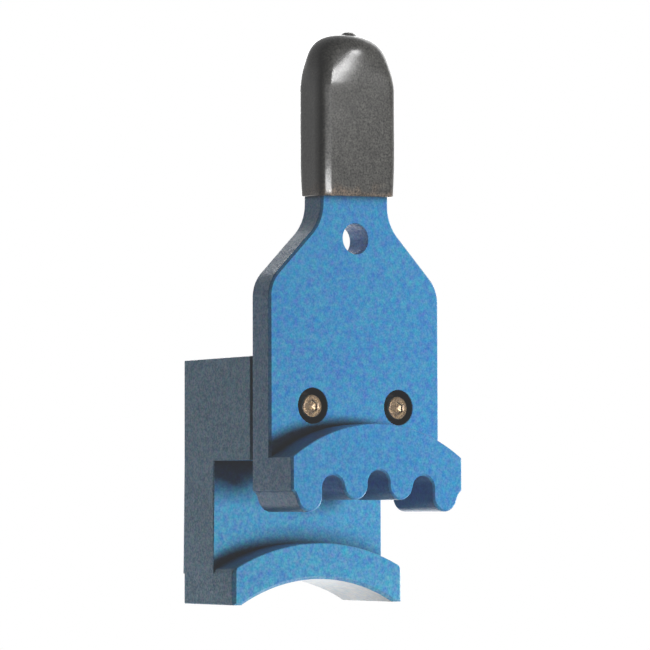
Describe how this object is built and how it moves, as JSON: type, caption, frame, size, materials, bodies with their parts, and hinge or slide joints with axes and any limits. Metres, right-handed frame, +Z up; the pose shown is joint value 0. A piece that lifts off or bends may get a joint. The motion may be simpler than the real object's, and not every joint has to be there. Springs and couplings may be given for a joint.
{
  "type": "toothed wheel holding jaw",
  "caption": "Two-piece holding jaw for a toothed wheel: toothed front jaw with hang hole and dipped grip, screwed to a C-shaped saddle block.",
  "frame": {"origin": "X = 0 on the plane of symmetry, Y = 0 in the middle of the depth, Z = 0 at the underside of the saddle's feet", "axes": "+Z up the handle, +Y from the toothed face to the saddle's rear face, +X to the right when looking along +Y"},
  "size_m": [0.048, 0.0434, 0.1309],
  "materials": {
    "blue_anodised": "satin blue anodised machined aluminium",
    "dark_vinyl": "semi-gloss dark grey dipped vinyl",
    "yellow_zinc": "yellow zinc plated steel",
    "black_oxide": "black oxide steel",
    "bright_steel": "plain bright steel"
  },
  "bodies": {
    "root": {"front_jaw": "blue_anodised", "rear_saddle": "blue_anodised", "vinyl_grip": "dark_vinyl", "cap_screw_left": "yellow_zinc", "cap_screw_right": "yellow_zinc", "washer_left": "black_oxide", "washer_right": "black_oxide", "thread_insert_left": "bright_steel", "thread_insert_right": "bright_steel", "dowel_pin_left": "bright_steel", "dowel_pin_right": "bright_steel"}
  },
  "joints": []
}
